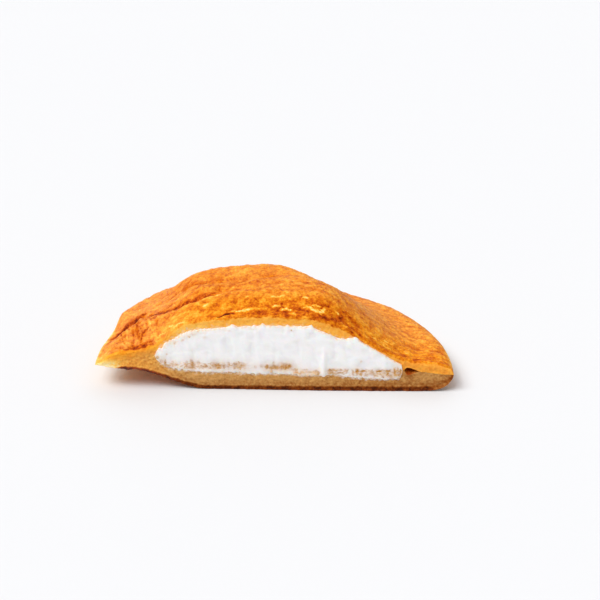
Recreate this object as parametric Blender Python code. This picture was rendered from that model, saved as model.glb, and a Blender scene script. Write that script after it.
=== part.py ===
"""Half of a cream-filled dorayaki, lying on its base with the knife cut facing -Y. Metres, +Z up.

Two soft griddle cakes are pinched together round a filling of whipped cream. The round is cut straight through
its middle, so its plan is half a disc, and each cake and the filling is a solid of its own.

Every surface is a height over that plan. A place on it is a bearing, the angle round the rim from the right end
of the cut (0) by the back (90) to the left end (180), and a share, its distance from the middle of the cut over
the rim's own radius there. What changes round the rim is given at a few stations and eased in between.
"""

import bpy
import numpy as np

MM = 0.001

# Plan, in millimetres
RADIUS = 48.3
BULGES = ((150, 9, 0.6), (75, 30, 0.6))  # bearing, spread and height of two outward swells of the rim
GAP = 0.3  # clearance between neighbouring solids

# Stations round the rim, in degrees, and what the round measures at each, in millimetres or in shares
STATIONS = (0, 55, 100, 135, 152, 160, 180)
RIM_HEIGHT = (4.8, 5.5, 7.5, 8.8, 8.6, 7.2, 7.1)
RIM_SPLIT = (0.3, 0.4, 0.4, 0.35, 0.3, 0.2, 0.2)  # half the groove between the two cakes' edges
BRIM_HEIGHT = (8.2, 9.0, 11.5, 13.4, 12.5, 10.7, 11.5)
DOME_SHOULDER = (0.17, 0.34, 0.49, 0.61, 0.39, 0.40, 0.46)
DOME_FOOT = (0.86, 0.92, 1.00, 1.00, 0.96, 0.99, 0.78)
EDGE_START = (0.86, 0.88, 0.92, 0.93, 0.95, 0.86, 0.84)
EDGE_POWER = (0.55, 0.50, 0.45, 0.40, 0.38, 1.10, 1.35)
BASE_LIFT = (0.3, 0.8, 1.5, 3.0, 4.5, 5.0, 6.0)
BASE_FLAT = (0.72, 0.70, 0.62, 0.50, 0.42, 0.40, 0.36)
BASE_RISEN = (0.98, 0.98, 0.98, 0.95, 0.88, 0.86, 0.82)
FILLING_END = (0.715, 0.76, 0.80, 0.76, 0.70, 0.68, 0.666)
FILLING_SEAM = (6.0, 7.0, 8.5, 9.0, 9.5, 9.5, 10.0)

# Crown of the dome: highest along a line a little behind the cut, where the knife pressed it down
CROWN_AT_CUT = 22.3
CROWN_RISE, CROWN_RISE_DEPTH = 3.3, 9.0
CROWN_FALL_LEFT, CROWN_FALL_RIGHT = 1.6 / 21**2, 0.5 / 18**2

# Thickness of the cakes over and under the filling, and how fast the filling rounds off at its end
TOP_CAKE = 3.1
BASE_CAKE, BASE_CAKE_SLOPE, BASE_CAKE_SPREAD = 4.2, 0.9, 14.0
NOSE_SHARE, NOSE_POWER = 0.13, 2.2

# Two folds pressed into the crust along the cut: the points (x, y) that each runs through, its depth, its half
# width, and the x over which it fades in from the left and out to the right. The front one runs over the rim.
FRONT_FOLD_LINE = (
    (-44, 13.5),
    (-40, 15.5),
    (-37, 15.8),
    (-33, 15),
    (-28, 12),
    (-25, 10.4),
    (-20, 9.6),
    (-16, 10.8),
    (-10, 12.2),
    (10, 13.5),
)
FRONT_FOLD = (FRONT_FOLD_LINE, 1.3, 2.2, (-60, -50), (-12, 8))
BACK_FOLD_LINE = ((-40, 28), (-33, 26), (-26, 20), (-22, 18), (-10, 17), (-4, 19), (20, 22))
BACK_FOLD = (BACK_FOLD_LINE, 0.8, 3.0, (-38, -26), (-2, 14))

# Low ridge that the front fold pushes up between itself and the left end of the cut
RIDGE_HEIGHT, RIDGE_X, RIDGE_Y = 2.4, -36.7, 10.3
RIDGE_SPREAD_X, RIDGE_SPREAD_Y = 7.0, 5.5

# Mesh density
SEGMENTS = 56
EDGE_RINGS = 5
CRUST_RINGS, INNER_RINGS, OUTER_RINGS, BASE_RINGS = 21, 8, 4, 8
LAST_EVEN_SHARE = 0.86  # past it the rings close up, to round the edge
SHARP_ANGLE = 50

# Linear colours and roughness
CRUST_FINISH = ((0.78, 0.30, 0.05), 0.60)
BASE_FINISH = ((0.52, 0.25, 0.07), 0.65)
CREAM_FINISH = ((0.88, 0.87, 0.85), 0.55)


def ease(t):
    """0 to 1, level at both ends."""
    t = np.clip(t, 0.0, 1.0)
    return t * t * (3.0 - 2.0 * t)


def bump(distance, spread):
    return np.exp(-((distance / spread) ** 2))


def around(bearing, values):
    """What the stations say, eased from each to the next."""
    stations = np.radians(STATIONS)
    values = np.array(values)
    last = np.clip(np.searchsorted(stations, bearing, side="right") - 1, 0, len(stations) - 2)
    step = ease((bearing - stations[last]) / (stations[last + 1] - stations[last]))
    return values[last] + (values[last + 1] - values[last]) * step


def plan(share, bearing):
    """x and y of a place on the plan, in millimetres from the middle of the cut."""
    reach = RADIUS + sum(
        height * bump(np.degrees(bearing) - middle, spread) for middle, spread, height in BULGES
    )
    return share * reach * np.cos(bearing), share * reach * np.sin(bearing)


def close_edge(height, rim, share, bearing):
    """Bends a height to the rim line in a rounded or, at the left end, a pinched edge."""
    start = around(bearing, EDGE_START)
    run = np.clip((share - start) / (1.0 - start), 0.0, 1.0)
    return rim + (height - rim) * (1.0 - run**2) ** around(bearing, EDGE_POWER)


def fold(x, y, points, depth, width, left, right):
    """A soft groove of that depth along the points, which fades in over left and out over right."""
    along, across = np.array(points).T
    present = ease((x - left[0]) / (left[1] - left[0])) * ease((right[1] - x) / (right[1] - right[0]))
    return -depth * bump(y - np.interp(x, along, across), width) * present


def crown(x, y):
    left, right = np.minimum(x, 0.0), np.maximum(x, 0.0)
    fall = CROWN_FALL_LEFT * left**2 + CROWN_FALL_RIGHT * right**2
    return CROWN_AT_CUT - fall + CROWN_RISE * ease(y / CROWN_RISE_DEPTH)


def dome(share, bearing):
    """The crust before its edge is rounded: a crown that slopes down to a brim, with the ridge and the folds."""
    x, y = plan(share, bearing)
    foot, shoulder = around(bearing, DOME_FOOT), around(bearing, DOME_SHOULDER)
    brim = around(bearing, BRIM_HEIGHT)
    height = brim + (crown(x, y) - brim) * ease((foot - share) / (foot - shoulder))
    ridge = RIDGE_HEIGHT * bump(x - RIDGE_X, RIDGE_SPREAD_X) * bump(y - RIDGE_Y, RIDGE_SPREAD_Y)
    return height + ridge + fold(x, y, *FRONT_FOLD) + fold(x, y, *BACK_FOLD)


def underside(share, bearing):
    """The base before its edge is rounded: flat on the table, then curling up."""
    flat, risen = around(bearing, BASE_FLAT), around(bearing, BASE_RISEN)
    return around(bearing, BASE_LIFT) * ease((share - flat) / (risen - flat))


def seam(share, bearing):
    """The line where the cakes meet, from the end of the filling out to the rim."""
    end, inner = around(bearing, FILLING_END), around(bearing, FILLING_SEAM)
    return inner + (around(bearing, RIM_HEIGHT) - inner) * ease((share - end) / (1.0 - end))


def filling(share, bearing, shrink=0.0):
    """Top and bottom of the filling. Past its end, both are the seam. Shrink draws it in all round."""
    x, _ = plan(share, bearing)
    middle = seam(share, bearing)
    ceiling = close_edge(dome(share, bearing), around(bearing, RIM_HEIGHT), share, bearing) - TOP_CAKE - shrink
    floor = underside(share, bearing) + BASE_CAKE - BASE_CAKE_SLOPE * np.tanh(x / BASE_CAKE_SPREAD) + shrink
    end = around(bearing, FILLING_END) - shrink / RADIUS
    run = np.clip((share - end) / NOSE_SHARE + 1.0, 0.0, 1.0)
    nose = np.sqrt(1.0 - run**NOSE_POWER)
    return middle + (ceiling - middle) * nose, middle - (middle - floor) * nose


def crust(share, bearing):
    """Outside of the top cake."""
    rim = around(bearing, RIM_HEIGHT) + around(bearing, RIM_SPLIT)
    return close_edge(dome(share, bearing), rim, share, bearing)


def roof(share, bearing):
    """Inner face of the top cake, over the filling."""
    rim = around(bearing, RIM_HEIGHT) + around(bearing, RIM_SPLIT)
    return close_edge(filling(share, bearing)[0] + GAP / 2, rim, share, bearing)


def bed(share, bearing):
    """Inner face of the base cake, under the filling."""
    rim = around(bearing, RIM_HEIGHT) - around(bearing, RIM_SPLIT)
    return close_edge(filling(share, bearing)[1] - GAP / 2, rim, share, bearing)


def base_skin(share, bearing):
    """Underside of the base cake."""
    rim = around(bearing, RIM_HEIGHT) - around(bearing, RIM_SPLIT)
    return close_edge(underside(share, bearing), rim, share, bearing)


def rounding_rings(start, count):
    """Shares past start that close up towards 1 like points on a quarter circle."""
    return start + (1.0 - start) * np.sin(np.linspace(0.0, np.pi / 2, count + 1)[1:])


def even_rings(count):
    """Shares of an outer face's rings: even, then closing up at the edge. One row of rings for each bearing."""
    inner = np.linspace(0.0, LAST_EVEN_SHARE, count + 1)[1:]
    rings = np.concatenate([inner, rounding_rings(LAST_EVEN_SHARE, EDGE_RINGS)])
    return np.repeat(rings[:, None], SEGMENTS + 1, axis=1)


def filling_rings(bearings):
    """Shares of rings that end at the filling's own end, closing up where it rounds off."""
    inner = np.linspace(0.0, LAST_EVEN_SHARE, INNER_RINGS + 1)[1:]
    rings = np.concatenate([inner, rounding_rings(LAST_EVEN_SHARE, EDGE_RINGS)])
    return rings[:, None] * around(bearings, FILLING_END)


def seam_rings(bearings):
    """The filling's rings, then on along the seam to the rim."""
    inner = filling_rings(bearings)
    outward = rounding_rings(0.0, OUTER_RINGS)[:, None]
    return np.concatenate([inner, inner[-1] + (1.0 - inner[-1]) * outward])


def sheet(rings, bearings, heights):
    """Points of a face, the pole first and then ring by ring, in metres."""
    x, y = plan(rings, bearings)
    pole = heights(np.zeros(1), np.full(1, np.pi / 2))
    points = np.stack([x, y, heights(rings, np.broadcast_to(bearings, rings.shape))], axis=-1)
    return np.concatenate([[[0.0, 0.0, pole[0]]], points.reshape(-1, 3)]) * MM


def sheet_faces(ring_count, numbers):
    """Triangles round the pole and quads between the rings, turning left seen from above."""
    grid = numbers[1:].reshape(ring_count, SEGMENTS + 1)
    fan = [(numbers[0], grid[0, j], grid[0, j + 1]) for j in range(SEGMENTS)]
    quads = [
        (grid[i, j], grid[i + 1, j], grid[i + 1, j + 1], grid[i, j + 1])
        for i in range(ring_count - 1)
        for j in range(SEGMENTS)
    ]
    return fan + quads


def cut_line(ring_count, numbers):
    """The face's points along the cut, from the right end to the left."""
    grid = numbers[1:].reshape(ring_count, SEGMENTS + 1)
    return [*grid[::-1, 0], numbers[0], *grid[:, -1]]


def half_round(name, upper_rings, lower_rings, upper, lower, material):
    """The closed solid between two faces that meet at the rim, with the flat knife cut along its front."""
    bearings = np.linspace(0.0, np.pi, SEGMENTS + 1)
    top, bottom = sheet(upper_rings, bearings, upper), sheet(lower_rings, bearings, lower)
    shared = SEGMENTS + 1  # the last ring of each face is the same rim
    points = np.concatenate([top, bottom[:-shared]])
    top_numbers = np.arange(len(top))
    bottom_numbers = np.concatenate([np.arange(len(top), len(points)), top_numbers[-shared:]])
    faces = sheet_faces(len(upper_rings), top_numbers)
    faces += [face[::-1] for face in sheet_faces(len(lower_rings), bottom_numbers)]
    over = cut_line(len(upper_rings), top_numbers)
    under = cut_line(len(lower_rings), bottom_numbers)
    faces.append(tuple(over + under[-2:0:-1]))
    mesh = bpy.data.meshes.new(name)
    mesh.from_pydata(points.tolist(), [], [tuple(int(n) for n in face) for face in faces])
    mesh.materials.append(material)
    mesh.shade_smooth()
    mesh.set_sharp_from_angle(angle=np.radians(SHARP_ANGLE))
    piece = bpy.data.objects.new(name, mesh)
    bpy.context.scene.collection.objects.link(piece)
    return piece


def principled(name, colour, roughness):
    material = bpy.data.materials.new(name)
    material.use_nodes = True
    shader = material.node_tree.nodes["Principled BSDF"]
    shader.inputs["Base Color"].default_value = (*colour, 1.0)
    shader.inputs["Roughness"].default_value = roughness
    shader.inputs["Metallic"].default_value = 0.0
    return material


def make_top_pancake(bearings):
    material = principled("browned_crust", *CRUST_FINISH)
    return half_round("top_pancake", even_rings(CRUST_RINGS), seam_rings(bearings), crust, roof, material)


def make_bottom_pancake(bearings):
    material = principled("browned_base", *BASE_FINISH)
    return half_round("bottom_pancake", seam_rings(bearings), even_rings(BASE_RINGS), bed, base_skin, material)


def make_cream(bearings):
    """The filling, drawn in by half the gap all round."""
    shrink = GAP / 2
    inset = shrink / RADIUS * np.linspace(0.0, 1.0, INNER_RINGS + EDGE_RINGS)[:, None]
    rings = filling_rings(bearings) - inset
    return half_round(
        "cream",
        rings,
        rings,
        lambda share, bearing: filling(share, bearing, shrink)[0],
        lambda share, bearing: filling(share, bearing, shrink)[1],
        principled("whipped_cream", *CREAM_FINISH),
    )


def centre_on_origin(pieces):
    """Moves the meshes so that the origin is under the middle of the whole, on the surface that it rests on."""
    corners = np.array([vertex.co for piece in pieces for vertex in piece.data.vertices])
    middle = (corners.min(axis=0) + corners.max(axis=0)) / 2
    for piece in pieces:
        for vertex in piece.data.vertices:
            vertex.co.x -= middle[0]
            vertex.co.y -= middle[1]


def main():
    for old in list(bpy.data.objects):
        bpy.data.objects.remove(old)
    bearings = np.linspace(0.0, np.pi, SEGMENTS + 1)
    centre_on_origin([make_top_pancake(bearings), make_cream(bearings), make_bottom_pancake(bearings)])


main()
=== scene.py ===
"""Half of a cream-filled dorayaki on a white table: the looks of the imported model.

Two griddle cakes are pinched together round whipped cream and cut through the middle. Every face is a
height, in millimetres, over half a disc. A place on it is a bearing, the angle round the rim from the right
end of the cut (0) by the back (90) to the left end (180), and a share, its distance from the middle of the
cut over the rim's radius there. The cut is the plane y = 0 of these functions, and y grows to the back.
"""

import bpy
import numpy as np
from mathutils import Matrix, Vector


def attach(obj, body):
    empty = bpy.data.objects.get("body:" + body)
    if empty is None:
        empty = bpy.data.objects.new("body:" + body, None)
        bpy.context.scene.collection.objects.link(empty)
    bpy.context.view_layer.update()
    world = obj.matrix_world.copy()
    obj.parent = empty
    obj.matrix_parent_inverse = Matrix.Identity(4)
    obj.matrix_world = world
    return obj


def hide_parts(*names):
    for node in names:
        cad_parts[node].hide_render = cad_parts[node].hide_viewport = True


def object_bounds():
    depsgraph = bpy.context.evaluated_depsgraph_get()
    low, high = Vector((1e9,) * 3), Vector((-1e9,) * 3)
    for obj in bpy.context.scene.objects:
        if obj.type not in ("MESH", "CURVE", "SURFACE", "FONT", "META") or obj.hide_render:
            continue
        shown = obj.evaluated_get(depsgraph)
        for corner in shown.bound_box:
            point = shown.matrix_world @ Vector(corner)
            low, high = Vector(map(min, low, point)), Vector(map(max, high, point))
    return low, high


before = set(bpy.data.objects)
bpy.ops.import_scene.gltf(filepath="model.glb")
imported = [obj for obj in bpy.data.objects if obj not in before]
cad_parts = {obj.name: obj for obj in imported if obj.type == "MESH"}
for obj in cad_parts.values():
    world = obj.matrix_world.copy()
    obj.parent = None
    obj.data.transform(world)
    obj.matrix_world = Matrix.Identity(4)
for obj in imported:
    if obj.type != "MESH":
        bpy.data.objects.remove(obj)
cad_low, cad_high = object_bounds()

MM = 0.001
CUT_Y = cad_low[1]  # where the knife cut lies in the scene, in metres: at the front of the solids

# The round, as in the solids: stations round the rim, in degrees, and what it measures at each
RADIUS = 48.3
BULGES = ((150, 9, 0.6), (75, 30, 0.6))
STATIONS = (0, 55, 100, 135, 152, 160, 180)
RIM_HEIGHT = (4.8, 5.5, 7.5, 8.8, 8.6, 7.2, 7.1)
RIM_SPLIT = (0.3, 0.4, 0.4, 0.35, 0.3, 0.2, 0.2)
BRIM_HEIGHT = (8.2, 9.0, 11.5, 13.4, 12.5, 10.7, 11.5)
DOME_SHOULDER = (0.17, 0.34, 0.49, 0.61, 0.39, 0.4, 0.46)
DOME_FOOT = (0.86, 0.92, 1.0, 1.0, 0.96, 0.99, 0.78)
EDGE_START = (0.86, 0.88, 0.92, 0.93, 0.95, 0.86, 0.84)
EDGE_POWER = (0.55, 0.5, 0.45, 0.4, 0.38, 1.1, 1.35)
BASE_LIFT = (0.3, 0.8, 1.5, 3.0, 4.5, 5.0, 6.0)
BASE_FLAT = (0.72, 0.7, 0.62, 0.5, 0.42, 0.4, 0.36)
BASE_RISEN = (0.98, 0.98, 0.98, 0.95, 0.88, 0.86, 0.82)
FILLING_END = (0.715, 0.76, 0.8, 0.76, 0.7, 0.68, 0.666)
FILLING_SEAM = (6.0, 7.0, 8.5, 9.0, 9.5, 9.5, 10.0)
CROWN_AT_CUT = 22.3
CROWN_RISE, CROWN_RISE_DEPTH = 3.3, 9.0
CROWN_FALL_LEFT, CROWN_FALL_RIGHT = 1.6 / 21**2, 0.5 / 18**2
RIDGE_HEIGHT, RIDGE_X, RIDGE_Y = 2.4, -36.7, 10.3
RIDGE_SPREAD_X, RIDGE_SPREAD_Y = 7.0, 5.5
TOP_CAKE = 3.1
BASE_CAKE, BASE_CAKE_SLOPE, BASE_CAKE_SPREAD = 4.2, 0.9, 14.0
NOSE_SHARE, NOSE_POWER = 0.13, 2.2
FRONT_FOLD_LINE = (
    (-44, 13.5), (-40, 15.5), (-37, 15.8), (-33, 15), (-28, 12), (-25, 10.4), (-20, 9.6), (-16, 10.8),
    (-10, 12.2), (10, 13.5),
)
BACK_FOLD_LINE = ((-40, 28), (-33, 26), (-26, 20), (-22, 18), (-10, 17), (-4, 19), (20, 22))
FRONT_FOLD_DEPTH, FRONT_FOLD_WIDTH, FRONT_FOLD_SPAN = 1.3, 2.2, ((-60, -50), (-12, 8))
BACK_FOLD_DEPTH, BACK_FOLD_WIDTH, BACK_FOLD_SPAN = 0.8, 3.0, ((-38, -26), (-2, 14))

# Mesh density: columns run along the cut, rows from the cut to the rim
HALF_COLUMNS = 172
TOP_ROWS, BASE_ROWS = (176, 18), (110, 30)  # of the outer and of the cut face
HIDDEN_ROWS = 10
CREAM_HALF_COLUMNS, CREAM_ROWS = 230, 96
FIRST_STEP = 0.3  # of the rows next to the cut, against even ones
EVEN_SHARE, CLOSING = 0.9, 18  # past that share, so many rows or columns close up on the rim


# -------- numbers that vary over a surface


def ease(t):
    """0 to 1, level at both ends: t squared times (3 - 2t)."""
    t = np.clip(t, 0.0, 1.0)
    return t * t * (3.0 - 2.0 * t)


def bump(distance, spread):
    """A bell: e to the minus (distance / spread) squared."""
    return np.exp(-((distance / spread) ** 2))


def between(t, low, high):
    """0 below low and 1 above high, eased."""
    return ease((t - low) / (high - low))


def until(t, low, high):
    """1 below low and 0 above high, eased."""
    return 1.0 - between(t, low, high)


def plateau(distance, half, soft):
    """1 within half of the middle and 0 beyond half + soft, eased."""
    return until(np.abs(distance), half, half + soft)


def window(x, opens, closes):
    """Fades in over the span where it opens and out over the one where it closes."""
    return between(x, *opens) * until(x, *closes)


def along(x, points):
    """What a table of (x, value) says, straight from each point to the next."""
    return np.interp(x, *np.array(points).T)


def hashed(x, y, z, seed):
    """A fixed random number from -1 to 1 for each cell: its place times large odd numbers, mixed."""
    h = np.uint64(seed * 0x27D4EB2F + 1)
    for place, odd in ((x, 0x9E3779B97F4A7C15), (y, 0xC2B2AE3D27D4EB4F), (z, 0x165667B19E3779F9)):
        h = h + place.astype(np.uint64) * np.uint64(odd)
    h ^= h >> np.uint64(29)
    h *= np.uint64(0xBF58476D1CE4E5B9)
    h ^= h >> np.uint64(32)
    return (h >> np.uint64(40)).astype(float) / 2**23 - 1.0


def lattice(points, seed):
    """Gradient noise: at each corner of a cell a random slope, eased from one corner to the next."""
    cell = np.floor(points).astype(np.int64)
    inside = points - cell
    near = ease(inside)
    total = np.zeros(points.shape[:-1])
    for corner in np.ndindex(2, 2, 2):
        weight = np.prod(np.where(corner, near, 1.0 - near), axis=-1)
        at = np.moveaxis(cell + corner, -1, 0)
        slope = np.stack([hashed(*at, seed + axis) for axis in range(3)], axis=-1)
        total += weight * np.sum(slope * (inside - corner), axis=-1)
    return total


def noise(x, y, z, size, seed, layers=3):
    """Gradient noise of that size in millimetres, about -1 to 1. Each further layer is 2.1 times finer,
    0.55 times as strong, and shifted."""
    points = np.stack(np.broadcast_arrays(x, y, z), axis=-1) / np.array(size, float)
    return 1.5 * sum(lattice(points * 2.1**k + 7.3 * k, seed + 17 * k) * 0.55**k for k in range(layers))


def cells(x, y, size, seed):
    """Distance, in cells, to the nearest of the points strewn over the plan, one to a cell."""
    u, v = x / size, y / size
    i, j = np.floor(u).astype(np.int64), np.floor(v).astype(np.int64)
    nearest = np.full(u.shape, 9.0)
    for di, dj in np.ndindex(3, 3):
        a, b = i + di - 1, j + dj - 1
        across = a + 0.5 + 0.45 * hashed(a, b, 0 * b, seed) - u
        away = b + 0.5 + 0.45 * hashed(a, b, 0 * b, seed + 1) - v
        nearest = np.minimum(nearest, np.hypot(across, away))
    return nearest


def in_strokes(x, y, strokes):
    """How far inside the nearest stroke, a straight line with half its width, each place is."""
    inside = []
    for from_x, from_y, to_x, to_y, half in strokes:
        run_x, run_y = to_x - from_x, to_y - from_y
        way = np.clip(((x - from_x) * run_x + (y - from_y) * run_y) / (run_x**2 + run_y**2), 0.0, 1.0)
        inside.append(half - np.hypot(x - from_x - way * run_x, y - from_y - way * run_y))
    return np.max(inside, axis=0)


# -------- the form of the half


def around(bearing, values):
    """What the stations say, eased from each to the next."""
    stations = np.radians(STATIONS)
    values = np.array(values)
    last = np.clip(np.searchsorted(stations, bearing, side="right") - 1, 0, len(stations) - 2)
    step = ease((bearing - stations[last]) / (stations[last + 1] - stations[last]))
    return values[last] + (values[last + 1] - values[last]) * step


def reach(bearing):
    """Radius of the rim: a circle with two low swells."""
    swells = (height * bump(np.degrees(bearing) - middle, spread) for middle, spread, height in BULGES)
    return RADIUS + sum(swells)


def plan(share, bearing):
    """x and y of a place, from its share and bearing."""
    return share * reach(bearing) * np.cos(bearing), share * reach(bearing) * np.sin(bearing)


def close_edge(height, rim, share, bearing):
    """Bends a height to the rim line: the rest of the way is (1 - run squared) to the edge's power."""
    start = around(bearing, EDGE_START)
    run = np.clip((share - start) / (1.0 - start), 0.0, 1.0)
    return rim + (height - rim) * (1.0 - run**2) ** around(bearing, EDGE_POWER)


def groove(x, y, points, width, span):
    """How much of a fold a place has: a bell across the fold's line, which fades in and out along it."""
    return bump(y - along(x, points), width) * window(x, *span)


def crown(x, y):
    """Top of the dome: it falls with x squared to both sides, and rises behind the cut."""
    left, right = np.minimum(x, 0.0), np.maximum(x, 0.0)
    fall = CROWN_FALL_LEFT * left**2 + CROWN_FALL_RIGHT * right**2
    return CROWN_AT_CUT - fall + CROWN_RISE * ease(y / CROWN_RISE_DEPTH)


def dome(share, bearing):
    """The crust before its edge is rounded: a crown that slopes to a brim, with the ridge and the folds."""
    x, y = plan(share, bearing)
    foot, shoulder = around(bearing, DOME_FOOT), around(bearing, DOME_SHOULDER)
    brim = around(bearing, BRIM_HEIGHT)
    height = brim + (crown(x, y) - brim) * ease((foot - share) / (foot - shoulder))
    ridge = RIDGE_HEIGHT * bump(x - RIDGE_X, RIDGE_SPREAD_X) * bump(y - RIDGE_Y, RIDGE_SPREAD_Y)
    front = FRONT_FOLD_DEPTH * groove(x, y, FRONT_FOLD_LINE, FRONT_FOLD_WIDTH, FRONT_FOLD_SPAN)
    back = BACK_FOLD_DEPTH * groove(x, y, BACK_FOLD_LINE, BACK_FOLD_WIDTH, BACK_FOLD_SPAN)
    return height + ridge - front - back


def crust_height(share, bearing):
    """Height of the crust over an even rim."""
    return close_edge(dome(share, bearing), around(bearing, RIM_HEIGHT), share, bearing)


def underside(share, bearing):
    """The base before its edge is rounded: flat on the table, then curling up."""
    flat, risen = around(bearing, BASE_FLAT), around(bearing, BASE_RISEN)
    return around(bearing, BASE_LIFT) * ease((share - flat) / (risen - flat))


def seam(share, bearing):
    """The line where the cakes meet, from the end of the filling out to the rim."""
    end, inner = around(bearing, FILLING_END), around(bearing, FILLING_SEAM)
    return inner + (around(bearing, RIM_HEIGHT) - inner) * ease((share - end) / (1.0 - end))


def filling(share, bearing):
    """Top and bottom of the filling, which meet at its end like the two arms of a root curve."""
    x, _ = plan(share, bearing)
    middle = seam(share, bearing)
    ceiling = crust_height(share, bearing) - TOP_CAKE
    floor = underside(share, bearing) + BASE_CAKE - BASE_CAKE_SLOPE * np.tanh(x / BASE_CAKE_SPREAD)
    run = np.clip((share - around(bearing, FILLING_END)) / NOSE_SHARE + 1.0, 0.0, 1.0)
    nose = np.sqrt(1.0 - run**NOSE_POWER)
    return middle + (ceiling - middle) * nose, middle - (middle - floor) * nose


def rim_lines(bearing):
    """Heights of both cakes' edges, a groove apart that closes up at the ends of the cut."""
    closed = between(bearing, 0.0, 0.35) * between(np.pi - bearing, 0.0, 0.35)
    waver = 0.35 * noise(reach(bearing) * bearing, 0, 0, 7.0, 3, 2) * closed
    rim, apart = around(bearing, RIM_HEIGHT) + waver, around(bearing, RIM_SPLIT) * closed
    return rim + apart, rim - apart


# -------- meshes


def closing_shares(count):
    """Shares from 0 to 1: even, and at the end closing up like points on a quarter circle."""
    even = np.linspace(0.0, EVEN_SHARE, count - CLOSING + 1)
    last = EVEN_SHARE + (1.0 - EVEN_SHARE) * np.sin(np.linspace(0.0, np.pi / 2, CLOSING + 1)[1:])
    return np.concatenate([even, last])


def strips(half_columns, rows, ends=None):
    """A grid over the half disc. Columns share out both the cut and the rim from left to right. Rows lead
    straight from the cut to the rim, closer together at both, by the way a t + (1 - a) t squared, with a
    the first step. Where ends gives shares for the stations, the grid shrinks to them."""
    even = closing_shares(half_columns)
    columns = np.concatenate([-even[:0:-1], even])
    cut_x = columns * np.where(columns < 0, reach(np.pi), reach(0.0))
    rim_x, rim_y = plan(np.ones(len(columns)), np.pi * np.linspace(1.0, 0.0, len(columns)))
    t = closing_shares(rows) if rows > 2 * CLOSING else np.linspace(0.0, 1.0, rows + 1)
    way = (FIRST_STEP * t + (1.0 - FIRST_STEP) * t**2)[:, None]
    x, y = (1.0 - way) * cut_x + way * rim_x, way * rim_y
    bearing = np.arctan2(np.maximum(y, 0.0), x)
    share = np.clip(np.hypot(x, y) / reach(bearing), 0.0, 1.0)
    share[-1], share[:, 0], share[:, -1] = 1.0, 1.0, 1.0
    bearing[:, 0], bearing[:, -1] = np.pi, 0.0
    if ends is not None:
        share = share * around(bearing, ends)
    x, y = plan(share, bearing)
    y[0] = 0.0
    return x, y, share, bearing


def joined(x, y, z):
    """Points from their coordinates."""
    return np.stack([x, y, z], axis=-1)


def grid_faces(numbers):
    """Quads of a grid of vertex numbers, and triangles where two corners are one vertex, as at a tip."""
    quads = np.stack([numbers[:-1, :-1], numbers[:-1, 1:], numbers[1:, 1:], numbers[1:, :-1]], axis=-1)
    quads = quads.reshape(-1, 4)
    same = quads == np.roll(quads, -1, axis=1)
    pinched = same.sum(axis=1) == 1
    return [quads[same.sum(axis=1) == 0], quads[pinched][~same[pinched]].reshape(-1, 3)]


def add_object(name, data):
    """A new object in the scene."""
    thing = bpy.data.objects.new(name, data)
    bpy.context.scene.collection.objects.link(thing)
    return thing


def mesh_object(name, points, face_sets, masks, material):
    """A smooth object from points in millimetres, sets of faces of one size each, and the points' masks."""
    mesh = bpy.data.meshes.new(name)
    mesh.vertices.add(len(points))
    mesh.vertices.foreach_set("co", (points * MM + (0.0, CUT_Y, 0.0)).astype(np.float32).ravel())
    corners = np.concatenate([faces.ravel() for faces in face_sets])
    lengths = np.concatenate([np.full(len(faces), faces.shape[1]) for faces in face_sets])
    mesh.loops.add(len(corners))
    mesh.loops.foreach_set("vertex_index", corners.astype(np.int32))
    mesh.polygons.add(len(lengths))
    mesh.polygons.foreach_set("loop_start", (np.cumsum(lengths) - lengths).astype(np.int32))
    mesh.update(calc_edges=True)
    for key, values in masks.items():
        layer = mesh.attributes.new(key, "FLOAT", "POINT")
        layer.data.foreach_set("value", np.asarray(values, np.float32))
    mesh.shade_smooth()
    mesh.materials.append(material)
    return add_object(name, mesh)


def closed_half(name, upper, lower, front, material):
    """One closed surface from three faces, each a table of its points and masks. The upper and the lower
    one meet at the rim. The front, row by row upwards, joins their first rows. Each tip is one vertex."""
    inner = upper["points"].shape[1] - 2
    counts = [len(upper["points"]) - 1, 1, len(lower["points"]) - 1, len(front["points"]) - 2]
    numbers = 2 + np.arange(sum(counts) * inner).reshape(-1, inner)
    above, rim, below, ahead = np.split(numbers, np.cumsum(counts)[:-1])

    def tipped(*parts):
        return np.pad(np.concatenate(parts), ((0, 0), (1, 1)), constant_values=(0, 1))

    def gather(key):
        grids = upper[key], lower[key][:-1], front[key][1:-1]
        inside = [grid[:, 1:-1].reshape(-1, *grid.shape[2:]) for grid in grids]
        return np.concatenate([grids[0][:1, 0], grids[0][:1, -1], *inside])

    sets = grid_faces(tipped(above, rim))
    sets += [faces[:, ::-1] for faces in grid_faces(tipped(below, rim))]
    sets += grid_faces(tipped(below[:1], ahead, above[:1]))
    masks = {key: gather(key) for key in upper if key != "points"}
    return mesh_object(name, gather("points"), sets, masks, material)


def front_heights(low, high, rows):
    """Heights of the cut face's rows, closer together at its edges."""
    t = np.linspace(0.0, 1.0, rows + 1)
    return low + (high - low) * (0.5 * t + 0.5 * ease(t))[:, None]


# -------- materials

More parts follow.
